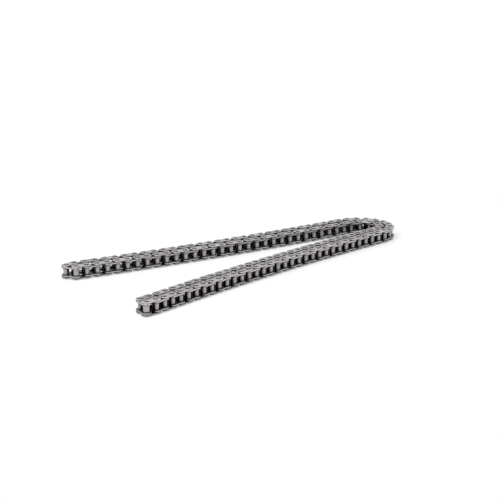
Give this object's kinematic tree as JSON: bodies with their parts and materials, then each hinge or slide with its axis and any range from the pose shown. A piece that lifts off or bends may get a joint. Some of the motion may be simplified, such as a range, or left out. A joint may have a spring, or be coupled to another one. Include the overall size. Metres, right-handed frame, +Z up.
{
  "type": "timing chain",
  "caption": "Endless simplex bush timing chain of riveted steel links, folded in two and lying on the ends of its pins.",
  "frame": {"origin": "middle of the folded loop in plan, at the height of the lower pin ends that it lies on", "axes": "+X along the far arm towards the fold, +Y from the near arm to the far arm, +Z up along the pins"},
  "size_m": [0.3342, 0.145, 0.0129],
  "materials": {
    "plates": "blanked and tumbled plate, thin oil film",
    "pins": "ground pin with peened ends",
    "bushes": "drawn and hardened bush",
    "links": "tumbled plates with ground pins and drawn bushes"
  },
  "bodies": {
    "fold": {"outside_fold_upper_outer_plates": "plates", "outside_fold_lower_outer_plates": "plates", "outside_fold_upper_inner_plates": "plates", "outside_fold_lower_inner_plates": "plates", "outside_fold_pins": "pins", "outside_fold_bushes": "bushes", "inside_fold_upper_outer_plates": "plates", "inside_fold_lower_outer_plates": "plates", "inside_fold_upper_inner_plates": "plates", "inside_fold_lower_inner_plates": "plates", "inside_fold_pins": "pins", "inside_fold_bushes": "bushes"},
    "far_outer_pair_1": {"far_outer_pair_1": "links"},
    "far_inner_pair_1": {"far_inner_pair_1": "links"},
    "far_run_1": {"far_outer_run_1": "links", "far_inner_run_1": "links"},
    "far_outer_pair_2": {"far_outer_pair_2": "links"},
    "far_inner_pair_2": {"far_inner_pair_2": "links"},
    "far_run_2": {"far_outer_run_2": "links", "far_inner_run_2": "links"},
    "far_outer_pair_3": {"far_outer_pair_3": "links"},
    "far_inner_pair_3": {"far_inner_pair_3": "links"},
    "far_run_3": {"far_outer_run_3": "links", "far_inner_run_3": "links"},
    "far_outer_pair_4": {"far_outer_pair_4": "links"},
    "far_inner_pair_4": {"far_inner_pair_4": "links"},
    "far_run_4": {"far_outer_run_4": "links", "far_inner_run_4": "links"},
    "far_outer_pair_5": {"far_outer_pair_5": "links"},
    "far_inner_pair_5": {"far_inner_pair_5": "links"},
    "far_tip": {"far_tip_upper_outer_plates": "plates", "far_tip_lower_outer_plates": "plates", "far_tip_upper_inner_plates": "plates", "far_tip_lower_inner_plates": "plates", "far_tip_pins": "pins", "far_tip_bushes": "bushes"},
    "near_outer_pair_1": {"near_outer_pair_1": "links"},
    "near_inner_pair_1": {"near_inner_pair_1": "links"},
    "near_run_1": {"near_outer_run_1": "links", "near_inner_run_1": "links"},
    "near_outer_pair_2": {"near_outer_pair_2": "links"},
    "near_inner_pair_2": {"near_inner_pair_2": "links"},
    "near_run_2": {"near_outer_run_2": "links", "near_inner_run_2": "links"},
    "near_outer_pair_3": {"near_outer_pair_3": "links"},
    "near_inner_pair_3": {"near_inner_pair_3": "links"},
    "near_run_3": {"near_outer_run_3": "links", "near_inner_run_3": "links"},
    "near_outer_pair_4": {"near_outer_pair_4": "links"},
    "near_inner_pair_4": {"near_inner_pair_4": "links"},
    "near_run_4": {"near_outer_run_4": "links", "near_inner_run_4": "links"},
    "near_outer_pair_5": {"near_outer_pair_5": "links"},
    "near_inner_pair_5": {"near_inner_pair_5": "links"},
    "near_tip": {"near_tip_upper_outer_plates": "plates", "near_tip_lower_outer_plates": "plates", "near_tip_upper_inner_plates": "plates", "near_tip_lower_inner_plates": "plates", "near_tip_pins": "pins", "near_tip_bushes": "bushes"}
  },
  "joints": [
    {"name": "far_outer_pair_1_pivot", "type": "hinge", "parent": "fold", "child": "far_outer_pair_1", "pos_m": [0.10294, 0.0667, 0.00646], "axis": [0, 0, 1], "range_deg": [0, 45]},
    {"name": "far_run_1_pivot", "type": "hinge", "parent": "far_outer_pair_1", "child": "far_run_1", "pos_m": [0.08392, 0.06576, 0.00646], "axis": [0, 0, 1], "range_deg": [-45, 0]},
    {"name": "far_inner_pair_1_pivot", "type": "hinge", "parent": "fold", "child": "far_inner_pair_1", "pos_m": [0.10867, 0.0549, 0.00646], "axis": [0, 0, 1], "range_deg": [0, 45]},
    {"name": "far_outer_pair_2_pivot", "type": "hinge", "parent": "far_run_1", "child": "far_outer_pair_2", "pos_m": [0.04584, 0.06438, 0.00646], "axis": [0, 0, 1], "range_deg": [0, 45]},
    {"name": "far_run_2_pivot", "type": "hinge", "parent": "far_outer_pair_2", "child": "far_run_2", "pos_m": [0.0268, 0.06394, 0.00646], "axis": [0, 0, 1], "range_deg": [-45, 0]},
    {"name": "far_inner_pair_2_pivot", "type": "hinge", "parent": "far_run_1", "child": "far_inner_pair_2", "pos_m": [0.05157, 0.05258, 0.00646], "axis": [0, 0, 1], "range_deg": [0, 45]},
    {"name": "far_outer_pair_3_pivot", "type": "hinge", "parent": "far_run_2", "child": "far_outer_pair_3", "pos_m": [-0.0113, 0.06356, 0.00646], "axis": [0, 0, 1], "range_deg": [0, 45]},
    {"name": "far_run_3_pivot", "type": "hinge", "parent": "far_outer_pair_3", "child": "far_run_3", "pos_m": [-0.03035, 0.06362, 0.00646], "axis": [0, 0, 1], "range_deg": [-45, 0]},
    {"name": "far_inner_pair_3_pivot", "type": "hinge", "parent": "far_run_2", "child": "far_inner_pair_3", "pos_m": [-0.00557, 0.05176, 0.00646], "axis": [0, 0, 1], "range_deg": [0, 45]},
    {"name": "far_outer_pair_4_pivot", "type": "hinge", "parent": "far_run_3", "child": "far_outer_pair_4", "pos_m": [-0.06844, 0.06424, 0.00646], "axis": [0, 0, 1], "range_deg": [0, 45]},
    {"name": "far_run_4_pivot", "type": "hinge", "parent": "far_outer_pair_4", "child": "far_run_4", "pos_m": [-0.08749, 0.06479, 0.00646], "axis": [0, 0, 1], "range_deg": [-45, 0]},
    {"name": "far_inner_pair_4_pivot", "type": "hinge", "parent": "far_run_3", "child": "far_inner_pair_4", "pos_m": [-0.06271, 0.05243, 0.00646], "axis": [0, 0, 1], "range_deg": [0, 45]},
    {"name": "far_outer_pair_5_pivot", "type": "hinge", "parent": "far_run_4", "child": "far_outer_pair_5", "pos_m": [-0.12555, 0.0664, 0.00646], "axis": [0, 0, 1], "range_deg": [0, 45]},
    {"name": "far_tip_pivot", "type": "hinge", "parent": "far_outer_pair_5", "child": "far_tip", "pos_m": [-0.14457, 0.06746, 0.00646], "axis": [0, 0, 1], "range_deg": [-45, 0]},
    {"name": "far_inner_pair_5_pivot", "type": "hinge", "parent": "far_run_4", "child": "far_inner_pair_5", "pos_m": [-0.11982, 0.0546, 0.00646], "axis": [0, 0, 1], "range_deg": [0, 45]},
    {"name": "near_outer_pair_1_pivot", "type": "hinge", "parent": "fold", "child": "near_outer_pair_1", "pos_m": [0.11316, 0.00634, 0.00646], "axis": [0, 0, 1], "range_deg": [-30, 14]},
    {"name": "near_run_1_pivot", "type": "hinge", "parent": "near_outer_pair_1", "child": "near_run_1", "pos_m": [0.09454, 0.00232, 0.00646], "axis": [0, 0, 1], "range_deg": [-14, 30]},
    {"name": "near_inner_pair_1_pivot", "type": "hinge", "parent": "fold", "child": "near_inner_pair_1", "pos_m": [0.11354, 0.01703, 0.00646], "axis": [0, 0, 1], "range_deg": [-30, 14]},
    {"name": "near_outer_pair_2_pivot", "type": "hinge", "parent": "near_run_1", "child": "near_outer_pair_2", "pos_m": [0.0574, -0.00619, 0.00646], "axis": [0, 0, 1], "range_deg": [-30, 14]},
    {"name": "near_run_2_pivot", "type": "hinge", "parent": "near_outer_pair_2", "child": "near_run_2", "pos_m": [0.03888, -0.01066, 0.00646], "axis": [0, 0, 1], "range_deg": [-14, 30]},
    {"name": "near_inner_pair_2_pivot", "type": "hinge", "parent": "near_run_1", "child": "near_inner_pair_2", "pos_m": [0.05778, 0.0045, 0.00646], "axis": [0, 0, 1], "range_deg": [-30, 14]},
    {"name": "near_outer_pair_3_pivot", "type": "hinge", "parent": "near_run_2", "child": "near_outer_pair_3", "pos_m": [0.00196, -0.02006, 0.00646], "axis": [0, 0, 1], "range_deg": [-30, 14]},
    {"name": "near_run_3_pivot", "type": "hinge", "parent": "near_outer_pair_3", "child": "near_run_3", "pos_m": [-0.01644, -0.02498, 0.00646], "axis": [0, 0, 1], "range_deg": [-14, 30]},
    {"name": "near_inner_pair_3_pivot", "type": "hinge", "parent": "near_run_2", "child": "near_inner_pair_3", "pos_m": [0.00234, -0.00937, 0.00646], "axis": [0, 0, 1], "range_deg": [-30, 14]},
    {"name": "near_outer_pair_4_pivot", "type": "hinge", "parent": "near_run_3", "child": "near_outer_pair_4", "pos_m": [-0.05313, -0.03526, 0.00646], "axis": [0, 0, 1], "range_deg": [-30, 14]},
    {"name": "near_run_4_pivot", "type": "hinge", "parent": "near_outer_pair_4", "child": "near_run_4", "pos_m": [-0.07141, -0.04062, 0.00646], "axis": [0, 0, 1], "range_deg": [-14, 30]},
    {"name": "near_inner_pair_4_pivot", "type": "hinge", "parent": "near_run_3", "child": "near_inner_pair_4", "pos_m": [-0.05275, -0.02457, 0.00646], "axis": [0, 0, 1], "range_deg": [-30, 14]},
    {"name": "near_outer_pair_5_pivot", "type": "hinge", "parent": "near_run_4", "child": "near_outer_pair_5", "pos_m": [-0.10784, -0.05178, 0.00646], "axis": [0, 0, 1], "range_deg": [-30, 14]},
    {"name": "near_tip_pivot", "type": "hinge", "parent": "near_outer_pair_5", "child": "near_tip", "pos_m": [-0.12598, -0.05758, 0.00646], "axis": [0, 0, 1], "range_deg": [-14, 30]},
    {"name": "near_inner_pair_5_pivot", "type": "hinge", "parent": "near_run_4", "child": "near_inner_pair_5", "pos_m": [-0.10746, -0.04109, 0.00646], "axis": [0, 0, 1], "range_deg": [-30, 14]}
  ],
  "couplings": [
    {"joint": "far_run_1_pivot", "follows": "far_outer_pair_1_pivot", "ratio": -1},
    {"joint": "far_inner_pair_1_pivot", "follows": "far_outer_pair_1_pivot", "ratio": 1},
    {"joint": "far_run_2_pivot", "follows": "far_outer_pair_2_pivot", "ratio": -1},
    {"joint": "far_inner_pair_2_pivot", "follows": "far_outer_pair_2_pivot", "ratio": 1},
    {"joint": "far_run_3_pivot", "follows": "far_outer_pair_3_pivot", "ratio": -1},
    {"joint": "far_inner_pair_3_pivot", "follows": "far_outer_pair_3_pivot", "ratio": 1},
    {"joint": "far_run_4_pivot", "follows": "far_outer_pair_4_pivot", "ratio": -1},
    {"joint": "far_inner_pair_4_pivot", "follows": "far_outer_pair_4_pivot", "ratio": 1},
    {"joint": "far_tip_pivot", "follows": "far_outer_pair_5_pivot", "ratio": -1},
    {"joint": "far_inner_pair_5_pivot", "follows": "far_outer_pair_5_pivot", "ratio": 1},
    {"joint": "near_run_1_pivot", "follows": "near_outer_pair_1_pivot", "ratio": -1},
    {"joint": "near_inner_pair_1_pivot", "follows": "near_outer_pair_1_pivot", "ratio": 1},
    {"joint": "near_run_2_pivot", "follows": "near_outer_pair_2_pivot", "ratio": -1},
    {"joint": "near_inner_pair_2_pivot", "follows": "near_outer_pair_2_pivot", "ratio": 1},
    {"joint": "near_run_3_pivot", "follows": "near_outer_pair_3_pivot", "ratio": -1},
    {"joint": "near_inner_pair_3_pivot", "follows": "near_outer_pair_3_pivot", "ratio": 1},
    {"joint": "near_run_4_pivot", "follows": "near_outer_pair_4_pivot", "ratio": -1},
    {"joint": "near_inner_pair_4_pivot", "follows": "near_outer_pair_4_pivot", "ratio": 1},
    {"joint": "near_tip_pivot", "follows": "near_outer_pair_5_pivot", "ratio": -1},
    {"joint": "near_inner_pair_5_pivot", "follows": "near_outer_pair_5_pivot", "ratio": 1}
  ]
}
